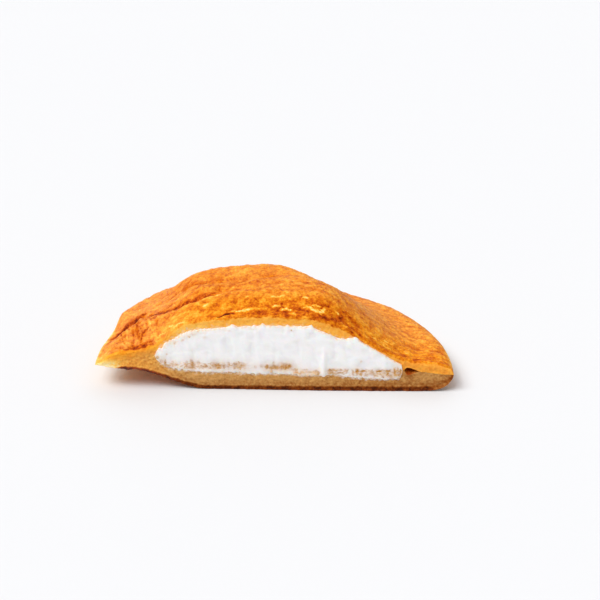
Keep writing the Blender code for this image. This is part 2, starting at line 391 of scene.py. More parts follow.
# sRGB tones of baked cake, unbaked to burnt: golden on the griddled side, tan in the base's crumb and skin
GOLD_TONES = (
    (0.0, (255, 230, 172)), (0.12, (255, 214, 126)), (0.25, (255, 192, 78)), (0.38, (251, 168, 44)),
    (0.5, (233, 139, 18)), (0.62, (214, 111, 6)), (0.74, (188, 79, 1)), (0.87, (144, 47, 1)),
    (1.0, (89, 26, 2)),
)
TAN_TONES = (
    (0.0, (238, 204, 156)), (0.22, (220, 168, 102)), (0.42, (198, 144, 80)), (0.6, (166, 106, 50)),
    (0.76, (138, 73, 20)), (0.9, (110, 47, 8)), (1.0, (72, 27, 4)),
)
CRUMB_TONES = ((0.2, (154, 92, 26)), (0.5, (194, 136, 56)), (0.8, (236, 196, 132)))  # of crumb in the cream
# The cream's tones: white, painted shade for its hollows, and cake showing through where it is thin.
CREAM_WHITE, CREAM_SHADE, CREAM_ON_CAKE = (246, 245, 245), (238, 237, 237), (243, 203, 160)
CREAM_AND_SHEEN_WHITE = (252, 250, 246)  # cake under a film of cream, and the painted sheen on the crust
BOUNCED = (162, 130, 106)  # the light that tan crumb throws on the table, greyer than the crumb itself
WHITE = (255, 255, 255)
LIGHT_SINKS = (1.0, 0.5, 0.25)  # how far red, green and blue get into batter and cream, against the depth
CAKE_DEPTH, CREAM_DEPTH, CRUMB_DEPTH = 0.0006, 0.0006, 0.0004  # in metres


def linear(colour):
    """Linear values of an 8-bit sRGB colour."""
    shares = np.array(colour) / 255.0
    return tuple(np.where(shares <= 0.04045, shares / 12.92, ((shares + 0.055) / 1.055) ** 2.4))


def feed(tree, node, inputs):
    """Sets inputs, by name or number, to numbers or sRGB colours, or links them to other nodes' outputs."""
    for key, value in inputs.items():
        socket = node.inputs[key]
        if isinstance(value, bpy.types.NodeSocket):
            tree.links.new(value, socket)
        elif isinstance(value, tuple):
            socket.default_value = (*linear(value), 1.0)
        else:
            socket.default_value = value


def add_node(tree, kind, inputs=None, **settings):
    node = tree.nodes.new(kind)
    for key, value in settings.items():
        setattr(node, key, value)
    feed(tree, node, inputs or {})
    return node


def maths(tree, operation, first, second):
    return add_node(tree, "ShaderNodeMath", {0: first, 1: second}, operation=operation).outputs[0]


def blend(tree, share, first, second):
    """Mixes two colours, each a socket or an sRGB colour."""
    return add_node(tree, "ShaderNodeMix", {0: share, 6: first, 7: second}, data_type="RGBA").outputs[2]


def ramp(tree, value, tones):
    """A colour ramp through (place, sRGB colour) tones."""
    node = add_node(tree, "ShaderNodeValToRGB", {0: value})
    elements = node.color_ramp.elements
    while len(elements) < len(tones):
        elements.new(0.5)
    for element, (place, colour) in zip(elements, tones):
        element.position = place
        element.color = (*linear(colour), 1.0)
    return node.outputs[0]


def mask(tree, name):
    return add_node(tree, "ShaderNodeAttribute", attribute_name=name).outputs["Fac"]


def noise_node(tree, vector, scale, detail, roughness):
    inputs = {"Vector": vector, "Scale": scale, "Detail": detail, "Roughness": roughness}
    return add_node(tree, "ShaderNodeTexNoise", inputs).outputs["Fac"]


def new_group(name, inputs, output):
    """A node group from a vector and named numbers to one number, with the nodes at both its ends."""
    group = bpy.data.node_groups.new(name, "ShaderNodeTree")
    group.interface.new_socket("Vector", in_out="INPUT", socket_type="NodeSocketVector")
    for key, value in inputs.items():
        number = group.interface.new_socket(key, in_out="INPUT", socket_type="NodeSocketFloat")
        number.default_value = value
    group.interface.new_socket(output, in_out="OUTPUT", socket_type="NodeSocketFloat")
    return group, add_node(group, "NodeGroupInput").outputs, add_node(group, "NodeGroupOutput")


def streaks_group():
    """Mottling stretched along the cut: noise whose x runs slower than its y and z, about -0.5 to 0.5."""
    group, given, result = new_group("streaks", {"Scale": 300.0, "Stretch": 0.3, "Strength": 1.0}, "Value")
    place = add_node(group, "ShaderNodeSeparateXYZ", {0: given["Vector"]}).outputs
    slow_x = maths(group, "MULTIPLY", place["X"], given["Stretch"])
    drawn = add_node(group, "ShaderNodeCombineXYZ", {"X": slow_x, "Y": place["Y"], "Z": place["Z"]})
    centred = maths(group, "SUBTRACT", noise_node(group, drawn.outputs[0], given["Scale"], 4.0, 0.62), 0.5)
    feed(group, result, {"Value": maths(group, "MULTIPLY", centred, given["Strength"])})
    return group


def crumb_relief_group():
    """Height of baked crumb: fine noise with pores, which are the lows of a cell pattern."""
    inputs = {"Grain": 1500.0, "Pores": 900.0, "Pore Depth": 0.5}
    group, given, result = new_group("crumb_relief", inputs, "Height")
    inputs = {"Vector": given["Vector"], "Scale": given["Pores"]}
    cell = add_node(group, "ShaderNodeTexVoronoi", inputs, feature="SMOOTH_F1").outputs["Distance"]
    grain = noise_node(group, given["Vector"], given["Grain"], 3.0, 0.6)
    pores = maths(group, "MULTIPLY", cell, given["Pore Depth"])
    feed(group, result, {"Height": maths(group, "ADD", grain, pores)})
    return group


def streaks(tree, groups, place, scale, stretch, strength):
    """Mottling in a material."""
    inputs = {"Vector": place, "Scale": scale, "Stretch": stretch, "Strength": strength}
    return add_node(tree, "ShaderNodeGroup", inputs, node_tree=groups["streaks"]).outputs[0]


def crumb_normal(tree, groups, place, sizes, distance, strength):
    """A normal from the crumb relief; the sizes are the grain's, the pores' and the pores' depth."""
    inputs = {"Vector": place, **dict(zip(("Grain", "Pores", "Pore Depth"), sizes))}
    height = add_node(tree, "ShaderNodeGroup", inputs, node_tree=groups["relief"]).outputs[0]
    inputs = {"Height": height, "Distance": distance, "Strength": strength}
    return add_node(tree, "ShaderNodeBump", inputs).outputs[0]


def new_material(name, roughness, specular, subsurface=0.0, depth=0.0):
    """A material whose light sinks in by depth metres, with its tree, its shader and Object coordinates."""
    material = bpy.data.materials.new(name)
    material.use_nodes = True
    tree = material.node_tree
    shader = tree.nodes["Principled BSDF"]
    feed(tree, shader, {"Roughness": roughness, "Specular IOR Level": specular})
    feed(tree, shader, {"Subsurface Weight": subsurface, "Subsurface Scale": depth})
    shader.inputs["Subsurface Radius"].default_value = LIGHT_SINKS
    return material, tree, shader, add_node(tree, "ShaderNodeTexCoord").outputs["Object"]


def cake_material(name, groups):
    """Baked cake. The toast mask picks the tone, painted light and shade included, broken up by streaks and
    speckles as far as the crusty mask says; the tan mask leads from golden to tan tones, and the mask of
    cream and sheen whitens, for cream on the cake and for painted sheen. What tan places throw on others is
    greyer, so that the table beside them isn't stained orange."""
    material, tree, shader, place = new_material(name, 0.5, 0.06, 0.12, CAKE_DEPTH)
    coarse = streaks(tree, groups, place, 700.0, 0.8, 0.65)
    speckles = streaks(tree, groups, place, 1900.0, 0.9, 0.65)
    mottling = maths(tree, "MULTIPLY", maths(tree, "ADD", coarse, speckles), mask(tree, "crusty"))
    toast = maths(tree, "ADD", mask(tree, "toast"), mottling)
    tone = blend(tree, mask(tree, "tan"), ramp(tree, toast, GOLD_TONES), ramp(tree, toast, TAN_TONES))
    tone = blend(tree, mask(tree, "cream_and_sheen"), tone, CREAM_AND_SHEEN_WHITE)
    bounce = add_node(tree, "ShaderNodeLightPath").outputs["Is Diffuse Ray"]
    tone = blend(tree, maths(tree, "MULTIPLY", bounce, mask(tree, "tan")), tone, BOUNCED)
    normal = crumb_normal(tree, groups, place, (1400.0, 1000.0, 0.8), 0.0004, 0.6)
    feed(tree, shader, {"Base Color": tone, "Normal": normal})
    return material


def cream_material(groups):
    """Whipped cream: near white, with painted shade in its hollows, tinted where it is thin, and with
    crumbs of cake.
    """
    material, tree, shader, place = new_material("whipped_cream", 0.4, 0.3, 0.3, CREAM_DEPTH)
    grain = streaks(tree, groups, place, 1000.0, 1.0, 1.0)
    crumb_tone = ramp(tree, maths(tree, "ADD", 0.5, grain), CRUMB_TONES)
    # Painted shade in the hollows of the cut face.
    tone = blend(tree, mask(tree, "hollow_shade"), CREAM_WHITE, CREAM_SHADE)
    tone = blend(tree, mask(tree, "thin"), tone, CREAM_ON_CAKE)
    tone = blend(tree, mask(tree, "crumb"), tone, crumb_tone)
    normal = crumb_normal(tree, groups, place, (1000.0, 800.0, 0.1), 0.0002, 0.15)
    feed(tree, shader, {"Base Color": tone, "Normal": normal})
    return material


def crumb_material(groups):
    """Loose crumbs: each has its own toast, speckled."""
    material, tree, shader, place = new_material("loose_crumb", 0.6, 0.16, 0.1, CRUMB_DEPTH)
    toast = maths(tree, "ADD", mask(tree, "toast"), streaks(tree, groups, place, 2500.0, 1.0, 0.6))
    normal = crumb_normal(tree, groups, place, (3000.0, 2000.0, 0.5), 0.0002, 0.6)
    feed(tree, shader, {"Base Color": ramp(tree, toast, TAN_TONES), "Normal": normal})
    return material


# -------- the crust and the cut

# Upper edge of the cream against the inner face of the upper cake, as (x, height)
TOP_EDGE = (
    (-32.2, 0.9), (-31, 1.3), (-29, 1.2), (-26, 0.3), (-15, 0.1), (10, 0.0), (12.5, -0.7), (17, -0.9),
    (19, 0.3), (21.5, 2.0), (28, 1.9), (34.2, 1.7), (34.5, 0.0),
)
# Lower edge of the cream against the inner face of the base cake, as (x, height)
LOW_EDGE = (
    (-32.5, 0.0), (-31.5, -1.1), (-29.4, -1.9), (-26.7, -1.2), (-22.7, -0.3), (-20.0, 0.1), (-11.4, 0.4),
    (-6.0, 0.2), (4.2, 0.85), (6.9, 0.5), (12.0, 0.8), (15.8, 1.2), (19.0, 0.7), (23.0, 0.3), (28.5, 0.0),
    (31.7, -0.2), (33.8, -0.9), (34.5, 0.0),
)
# Where the browning begins, as (x, how far behind the cut's edge); below zero it is on the cut face
CRUST_EDGE = (
    (-38, 0.4), (-34, 0.0), (-30, -0.2), (-25, -0.7), (-21, -0.8), (-17, -0.4), (-13, -0.9), (-9, -0.4),
    (-5, -0.6), (-1, -0.35), (3, -1.0), (11, -1.15), (16, -1.0), (30, -0.7), (42, 0.0),
)

LIP_RADIUS, FOOT_RADIUS = 1.0, 0.22  # to which the knife left the crust's edge, and the base's foot
CUT_FADE = 0.8  # how far behind the cut the roughness of the cut face is felt
CRUST_FADE = 0.9  # how far down the cut face the crust's relief is felt
PLEATS_X, PLEATS_Y = -36.8, 6.0
SKIN_DEPTH = 1.1  # of the darkened band along the foot of the cut: brown skin, with painted shade over it
GOLDEN_LEFT = 0.72  # how much of its tan the crumb loses where it is golden, at the left
UNDER_CUT = 3.0  # how deep in the crumb the hidden faces count as
UP = (1, -1)  # which way the outer face looks of the upper cake, side 0, and of the base, side 1
# The small pocket where the cakes gape past the right end of the cream: where along x it opens and closes,
# and how much darker the crumb is over it, as painted shade, and under it, browned
POCKET_OPENS, POCKET_CLOSES = (34.7, 35.7), (35.9, 39.6)
POCKET_SHADE_AND_TOAST = (0.95, 0.76)
TOP_TUCK, BASE_TUCK = (0.7, 0.9), (1.5, 1.2)  # how far inner faces hide behind the cream, and gape there

# Strokes on the crust as x, y, x, y and half the width: torn patches of pale skin, cracks, and a burnt slit
FLAKES = (
    (-30.6, 2.0, -29.3, 1.4, 0.24), (-28.1, 2.4, -27.4, 2.1, 0.2), (-26.1, 1.1, -24.4, 0.8, 0.24),
    (-18.9, 4.6, -18.0, 5.0, 0.22), (-15.8, 7.9, -14.9, 8.5, 0.26), (-13.6, 2.2, -10.4, 2.4, 0.1),
    (-10.4, 1.8, -8.6, 2.3, 0.3), (-8.6, 2.3, -6.8, 2.5, 0.36), (-7.8, 6.2, -7.0, 6.3, 0.16),
    (-0.6, 6.2, 1.2, 6.3, 0.26), (1.2, 6.4, 2.6, 6.8, 0.36), (-0.4, 3.4, 1.3, 3.5, 0.28),
    (1.9, 2.4, 3.2, 2.5, 0.36), (3.2, 2.5, 4.4, 2.3, 0.22), (5.2, 1.0, 5.7, 0.5, 0.3),
    (7.6, 6.4, 8.9, 6.2, 0.26), (7.9, 3.1, 9.2, 3.1, 0.16), (9.3, 3.2, 9.9, 2.9, 0.42),
    (9.9, 2.6, 11.2, 2.3, 0.3), (11.2, 2.3, 12.6, 2.1, 0.38), (12.8, 2.8, 13.4, 3.5, 0.46),
    (10.2, 3.8, 12.2, 3.9, 0.22),
)
CRACKS = ((-36.0, 3.2, -35.9, 5.6, 0.2), (-35.9, 5.6, -34.9, 6.2, 0.3), (-34.9, 6.2, -33.2, 6.4, 0.15))
BURNT_SLIT = ((-15.0, 0.7, -12.9, 1.35, 0.26), (-12.9, 1.35, -10.6, 1.65, 0.34))
# The sharp crease in front of the front fold's floor, in two strands that pass each other: points of its
# line as (x, y, how far back from them the wall behind gets painted shade)
LEFT_CREASE = (
    (-45.0, 10.0, 4.0), (-43.3, 10.3, 4.4), (-41.3, 10.8, 5.6), (-39.4, 11.2, 5.4), (-37.8, 12.0, 5.6),
    (-36.6, 13.8, 4.7), (-35.4, 14.6, 3.6),
)
RIGHT_CREASE = (
    (-36, 10.9, 4.6), (-34, 10.7, 4.9), (-32, 10.4, 4.4), (-28, 9.3, 2.9), (-25, 9.1, 2.3), (-22, 8.2, 2.5),
    (-19.5, 8.9, 1.7), (-16, 9.4, 1.8), (-8, 10.8, 1.6),
)
# Of each strand: how far back it sinks, its depth and painted shade, and where along x it fades in and out
CREASES = (
    (LEFT_CREASE, 4.2, 1.6, 1.0, (-46.0, -43.6), (-36.4, -34.8)),
    (RIGHT_CREASE, 2.6, 1.1, 0.9, (-37.0, -34.5), (-24.0, -9.0)),
)


def crease(x, y, points, back, deep, shade_strength, fade_in, fade_out):
    """Depth of one strand, steep on its front side, and the painted shade in it, most along the foot of the
    wall behind it. Both go by the distance behind a line that wanders a little."""
    at, line, shade_reach = np.array(points).T
    behind = y - np.interp(x, at, line) - 0.4 * noise(x, y, 0, 4.0, 19, 2)
    present = window(x, fade_in, fade_out)
    past = behind - np.interp(x, at, shade_reach) * (1.0 + 0.06 * noise(x, y, 0, 1.6, 21, 3))
    floor = 0.3 * between(behind, -1.4, -0.2)
    shade = (floor + (1.0 - floor) * between(past, -2.7, -1.2)) * until(past, -0.1, 1.4)
    return deep * present * bump(behind, np.where(behind < 0, 1.1, back)), shade_strength * present * shade


def creases(x, y):
    """Depth and painted shade of both strands."""
    return np.max([crease(x, y, *strand) for strand in CREASES], axis=0)


def pleats(x, y):
    """Fine pleats square to the cut, on the ridge at the left: noise drawn out over y, about -1 to 1."""
    wave = noise(x + 0.25 * y, y, 0, (0.85, 4.5, 1), 23, 2)
    return 1.6 * wave * plateau(x - PLEATS_X, 4.2, 4.5) * plateau(y - PLEATS_Y, 3.5, 3.5)


def leather(x, y):
    """Fine uneven bumps of the browned skin, about -1 to 1."""
    return noise(x, y, 0, (2.3, 1.7, 1), 7, 4)


def flakes(x, y):
    """How torn a place is: in the patches, frayed by noise, and in small spots right of them."""
    patches = in_strokes(x, y, FLAKES) + 0.3 * noise(x, y, 0, (0.6, 0.45, 1), 29, 3)
    spots = 0.55 * noise(x, y, 0, (1.7, 0.9, 1), 27, 3) - 0.36 + 0.22 * noise(x, y, 0, 6.0, 25, 1)
    spots += -1.0 + plateau(x - 24.0, 8.0, 4.0) * plateau(y - 3.4, 2.0, 2.5)
    return between(np.maximum(patches, spots), -0.2, 0.26)


def slit(x, y, strokes):
    """1 along narrow frayed openings."""
    return between(in_strokes(x, y, strokes) + 0.1 * noise(x, y, 0, 0.9, 31, 2), -0.1, 0.08)


def crust_relief(x, y):
    """Height added to the crust: swells, leathery bumps, grain, pleats and lifted patches, less dimples,
    folds and slits."""
    swell = 0.3 * noise(x, y, 0, (13, 8, 1), 3, 2)
    bumps = (0.24 - 0.08 * between(x, 8, 22)) * leather(x, y)
    grain = 0.09 * noise(x, y, 0, 0.8, 11, 2)
    warp = 0.8 * noise(x, y, 0, 2.4, 5, 2)
    dimples = 0.1 * bump(cells(x + warp, y - warp, 1.7, 13), 0.34)
    folds = creases(x, y)[0] + 0.4 * groove(x, y, BACK_FOLD_LINE, 1.2, BACK_FOLD_SPAN)
    slits = 0.2 * (slit(x, y, BURNT_SLIT) + slit(x, y, CRACKS))
    return swell + bumps + grain + 0.28 * pleats(x, y) + 0.1 * flakes(x, y) - dimples - folds - slits


def cut_relief(x, z):
    """How far back the cut face lies: soft lumps, pores, and the upright drag of the knife."""
    lumps = 0.1 * noise(x, 0, z, (1.6, 1, 1.1), 31, 3)
    drag = 0.05 * noise(x, 0, z, (0.7, 1, 3.0), 33, 2)
    return lumps + drag + 0.1 * bump(cells(x, z, 1.1, 37), 0.28)


def round_corner(depth, back, radius):
    """Moves (y, z) that turn a square edge into a quarter circle. Half of the arc is for depth, the way
    down the front from the edge, and half for back, the way behind it."""
    depth, back = np.minimum(depth, radius), np.minimum(back, radius)
    angle = np.radians(45) * (1.0 + (back - depth) / radius)
    return radius * (1 - np.cos(angle)) - back, depth - radius * (1 - np.sin(angle))


def pocket(x):
    """How open the pocket is."""
    return window(x, POCKET_OPENS, POCKET_CLOSES)


def upper_left(x):
    """How near to the upper left of the cream, where its edge is most torn and thinnest."""
    return bump(x + 26, 8.0)


def band_toast(x, z):
    """How browned the golden crumb is at the cut: less over the cream's left, more beside both its ends."""
    level = 0.36 + 0.05 * noise(x, 0, z, (3.0, 1, 1.2), 47, 3) - 0.07 * bump(x + 22, 9.0)
    return level + 0.14 * bump(x + 37, 6.5) + 0.06 * between(x, 12, 30)


def leftness(x, z):
    """How far to the left a place on the cut is, where the cakes merge and the crumb turns golden."""
    return between(-x + 2.0 * noise(x, 0, z, 2.5, 65, 2), 22.0, 39.0)


def unbaked(x, z):
    """How raw a place on the cut is: the foot of its left tip."""
    return between(-x, 40.2, 44.4) * until(z, 7.4, 9.4)


def cake_grid(side, form, tucked, rows):
    """x, y, share and bearing over a cake, and the heights of its outer and its inner face: the form closed
    to the rim, and the filling's face, tucked in behind the cream's edge and gaping at the pocket."""
    x, y, share, bearing = strips(HALF_COLUMNS, rows)
    rim, up = rim_lines(bearing)[side], UP[side]
    outer = close_edge(form(share, bearing), rim, share, bearing)
    inner = close_edge(filling(share, bearing)[side], rim, share, bearing)
    tuck = tucked[0] * bump(y, 2.0) * plateau(x, 30.0, 2.0)
    inner -= up * (tuck - tucked[1] * pocket(x) * np.exp(-y / 2.5))
    return x, y, share, bearing, outer, outer - up * np.maximum(up * (outer - inner), 0.0)


def cake_face(side, shape, masks, place, z, depth):
    """A face that shows, at its depth from the outer one, where shape gives the relief, how far the foot
    sticks out, and the radius of the edge. They fade out at the rim."""
    x, y, share, bearing = place
    keep = until(share, 0.97, 1.0)
    relief, lip, radius = shape(x, y, z, depth)
    round_y, round_z = round_corner(depth, y, radius)
    back = (cut_relief(x, z) - lip) * np.exp(-y / CUT_FADE)
    height = np.maximum(z + (relief + UP[side] * round_z) * keep, 0.0)
    points = joined(x, y + (back + round_y) * keep, height)
    return {"points": points, **masks(x, y, z, depth, share, bearing)}


def hidden_face(side, masks, place, z):
    """The inner face, which counts as crumb, darkened in the pocket: with painted shade above, browned
    below.
    """
    x, y, share, bearing = place
    level = z if side else crust_height(share, bearing) - UNDER_CUT
    face = masks(x, side * y, level, UNDER_CUT + 0.0 * x, share, bearing)
    face["toast"] += (POCKET_SHADE_AND_TOAST[side] - face["toast"]) * pocket(x)
    face["tan"] *= 1.0 - 0.7 * pocket(x)
    return {"points": joined(x, y, z), **face}


def make_cake(name, side, form, shape, masks, rows, tucked, material):
    """A cake: its outer and its inner face, and the cut that joins them."""
    *place, outer, inner = cake_grid(side, form, tucked, rows[0])
    outside = cake_face(side, shape, masks, place, outer, 0.0 * outer)
    low, high = (outer[0], inner[0]) if side else (inner[0], outer[0])
    z = front_heights(low, high, rows[1])
    at_cut = [np.broadcast_to(grid[0], z.shape) for grid in place]
    front = cake_face(side, shape, masks, at_cut, z, UP[side] * (outer[0] - z))
    *place, _, inner = cake_grid(side, form, tucked, HIDDEN_ROWS)
    inside = hidden_face(side, masks, place, inner)
    inside["points"][0] = front["points"][-1 if side else 0]
    upper, lower = (inside, outside) if side else (outside, inside)
    return closed_half(name, upper, lower, front, material)


# -------- the upper cake

# Patches of the crust that are browner, or paler for amounts below zero: x, y, spreads, amount
BROWNED = ((-26, 1.0, 6.5, 3.0, -0.1), (-37, 6.0, 6.0, 6.0, 0.05))


def crust_shape(x, y, z, depth):
    """Shape of the upper cake: its relief is felt less down the cut face."""
    radius = LIP_RADIUS * (1.0 + 0.3 * noise(x, 0, 0, 2.5, 59, 2))
    return crust_relief(x, y) * np.exp(-depth / CRUST_FADE), 0.0, radius


def crust_toast_and_shading(x, y, share):
    """How browned the crust is: streaked along the cut, darkest in a mottled strip behind the cut's edge,
    and pale at the left tip and the pinched rim. Painted into it too: shade in the folds and creases, and
    highlight on the leathery bumps and pleats, with shade between them."""
    streaked = noise(x, y, 0, (4.5, 2.2, 1), 41, 4)
    blotches = noise(x, y, 0, (2.4, 1.7, 1), 43, 3)
    # The last term is painted highlight on the leathery bumps and painted shade between them.
    mottled = 0.06 * streaked + 0.06 * blotches - 0.12 * leather(x, y)
    level = 0.53 + 0.04 * noise(x, y, 0, (15, 9, 1), 45, 2) + mottled * (1.0 - 0.4 * between(y, 12, 26))
    level += 0.05 * between(y, 30, 44) - 0.02 * between(y, 8, 16)
    # Painted shade in the creases, most along the foot of the wall behind them.
    level += 0.36 * creases(x, y)[1] * (0.9 + 0.5 * blotches)
    # Painted shade along the back fold; the pleats get painted highlight on top and painted shade between
    # them.
    level += 0.09 * groove(x, y, BACK_FOLD_LINE, 2.4, BACK_FOLD_SPAN)
    level += 0.16 * slit(x, y, CRACKS) - 0.14 * pleats(x, y)
    strip = plateau(y - 2.5, 2.0, 2.6) * window(x, (-16, -4), (16, 30))
    level += (0.09 + 0.02 * between(x, 4, 12)) * strip * (1.0 + 1.8 * blotches)
    level += 0.22 * plateau(y - 1.0, 0.6, 1.2) * window(x, (-44, -38), (-35, -31))
    level += 0.1 * bump(y - 1.3, 0.8) * between(x, -23, -16)
    for patch_x, patch_y, spread_x, spread_y, amount in BROWNED:
        level += amount * bump(x - patch_x, spread_x) * bump(y - patch_y, spread_y)
    level -= 0.22 * between(-x, 42, 48) * bump(y, 4.0)
    pinched = between(share + 0.010 * noise(x, y, 0, 3.0, 47, 3), 0.975, 1.0)
    level -= 0.26 * pinched * between(y, 0.0, 6.0)
    return level + (1.0 - level) * slit(x, y, BURNT_SLIT)


def top_masks(x, y, z, depth, share, bearing):
    """The upper cake's masks. Its crust begins along a ragged line. At the left its crumb merges with the
    base's, and the foot of its tip is unbaked. A painted sheen whitens the lighter crust, and cream whitens
    it as a trace on the crumb and a smear over the cream's edge."""
    line = along(x, CRUST_EDGE) + 0.3 * noise(x, 0, 0, 1.5, 51, 3)
    behind = y - depth
    crust = between(behind - line + 0.45 * noise(x, behind, 0, (1.5, 0.9, 1), 53, 3), -0.25, 0.35)
    raw = unbaked(x, z) * (1.0 - crust)
    over_seam = z - seam(share, bearing) + 0.5 * noise(x, 0, depth, 3.0, 55, 2)
    merged = until(over_seam, 0.0, 3.0) * between(-x, 30, 33) * (1.0 - crust) * (1.0 - raw)
    crumb = band_toast(x, depth) - 0.05 * merged
    crumb += (0.04 - crumb) * raw
    toast = crumb + (crust_toast_and_shading(x, behind, share) - crumb) * crust
    toast += (0.07 - toast) * 0.8 * flakes(x, y) * np.exp(-depth / 0.3)
    # Painted sheen on the lighter crust, most at the left and towards the back.
    painted_sheen = 0.012 + 0.024 * between(-x, 20, 36) + 0.012 * between(y, 8, 20)
    painted_sheen *= 1.0 - plateau(y - 2.6, 2.0, 3.0) * between(x, -30, -14)
    painted_sheen *= until(toast, 0.5, 0.7)
    trace = 0.026 * until(-x, 27, 34)
    above = z - filling(share, bearing)[0] - along(x, TOP_EDGE)
    smear = between(0.6 - above + 1.3 * noise(x, 0, z, (1.0, 1, 0.6), 81, 3), 0.0, 0.5)
    smear *= (0.15 + 0.14 * upper_left(x)) * plateau(x, 30.0, 3.0) * between(depth, 0.5, 1.5)
    return {
        "toast": toast,
        "crusty": 0.4 + 0.6 * crust,
        "tan": merged * (1.0 - GOLDEN_LEFT * leftness(x, z)),
        "cream_and_sheen": np.maximum(trace * (1.0 - crust) + painted_sheen * crust, smear) + 0.015 * merged,
    }


# -------- the base cake

NICK_X, NICK_Y, NICK_DEPTH = -39.4, 0.5, 0.55  # a nick in the skin under the left end


def base_shape(x, y, z, over):
    """Shape of the base cake, over being the way up from its underside: lumps and a nick in its skin where
    it is off the table, and a foot that the knife pressed out a little."""
    lumps = 0.16 * noise(x, y, 0, (1.6, 1.6, 1), 61, 3)
    lumps -= NICK_DEPTH * bump(x - NICK_X, 0.9) * bump(y - NICK_Y, 1.2)
    lip = (0.1 + 0.6 * between(x, -18, 18)) * np.exp(-over / 0.7)
    radius = FOOT_RADIUS + 0.08 * noise(x, 0, 0, 1.6, 63, 2)
    return lumps * np.exp(-over / 0.5) * between(z, 0.0, 1.2), lip, radius


def base_masks(x, y, z, over, share, bearing):
    """The base cake's masks. Tan crumb, darker downwards, golden at the left and darker to the right as
    painted shade, goes down to a ragged brown skin with a pale line over it; along the foot of the cut
    painted shade deepens the skin. Cream whitens its upper edge. Under the cake it is lighter."""
    left, raw, under = leftness(x, z), unbaked(x, z), between(y, 0.6, 2.5)
    below_cream = filling(share, bearing)[1] + along(x, LOW_EDGE) - z
    crumb = 0.38 + 0.12 * between(-over, -4.2, -1.6) + 0.22 * between(-over, -2.4, -0.6)
    crumb += 0.07 * noise(x, 0, z, (1.4, 1, 0.8), 67, 4)
    # Darker to the right, from x 4 to 34, as painted shade; lighter from 12 to 26 left of the middle.
    crumb += 0.07 * between(x, 4, 34) - 0.06 * between(-x, 12, 26)
    crumb += 0.16 * bump(x - 36.8, 2.0) * bump(z - 4.6, 1.0)
    golden = band_toast(x, z) - 0.06 * bump(x + 37, 7.0) + 0.06 * between(-over, -2.5, -0.4)
    golden += (0.04 - golden) * raw
    crumb += (golden - crumb) * left
    rough = 0.2 * bump(below_cream - 0.8, 1.3) * between(-x, 12, 20)
    crumb += rough * noise(x, 0, z, (0.8, 1, 0.7), 59, 3)
    edge = SKIN_DEPTH * (1.0 + 0.22 * noise(x, 0, 0, 1.8, 69, 3))
    edge *= (1.0 - 0.35 * left) * until(-x, 41, 43) * until(x, 44.0, 47.5)
    crumb -= 0.14 * bump(over - edge - 0.3, 0.3)
    # Brown skin, deepest in tone along the foot of the cut, where painted shade is added; lighter under the
    # cake.
    skin_toast_and_shade = 0.93 - 0.37 * under + 0.1 * noise(x, y, 0, (2.5, 1.6, 1), 71, 4)
    pinched = between(share, 0.975, 1.0) * between(y, 0.0, 6.0)
    skin_toast_and_shade -= 0.3 * np.maximum(pinched, between(x, 41.0, 46.5))
    skin = between(edge - over, -0.25, 0.35)
    smear = between(0.55 - np.abs(below_cream) + 0.7 * noise(x, 0, z, (0.9, 1, 0.6), 57, 3), 0.0, 0.5)
    return {
        "toast": crumb + (skin_toast_and_shade - crumb) * skin,
        "crusty": 0.75 + 0.1 * skin,
        "tan": (1.0 - GOLDEN_LEFT * left) * (1.0 - raw) * (1.0 - under),
        "cream_and_sheen": np.maximum(0.02 * left, 0.42 * smear * plateau(x - 1.5, 32.0, 1.2)) * (1.0 - under),
    }


# -------- the cream

CREAM_PROUD = 0.35  # how far the filling bulges past the cut
DRIP_X, DRIP_HALF, DRIP_PROUD, DRIP_LOW = 13.3, 0.75, 0.35, 0.5
# Narrow peaks of its upper edge, as x, height, half width
PEAKS = (
    (-19.5, 0.35, 0.5), (-11.2, 0.8, 0.8), (-5.4, 0.3, 0.4), (-3.1, 0.7, 0.6), (3.6, 0.35, 0.4),
    (9.9, 0.7, 0.5), (22.0, 0.4, 0.6),
)
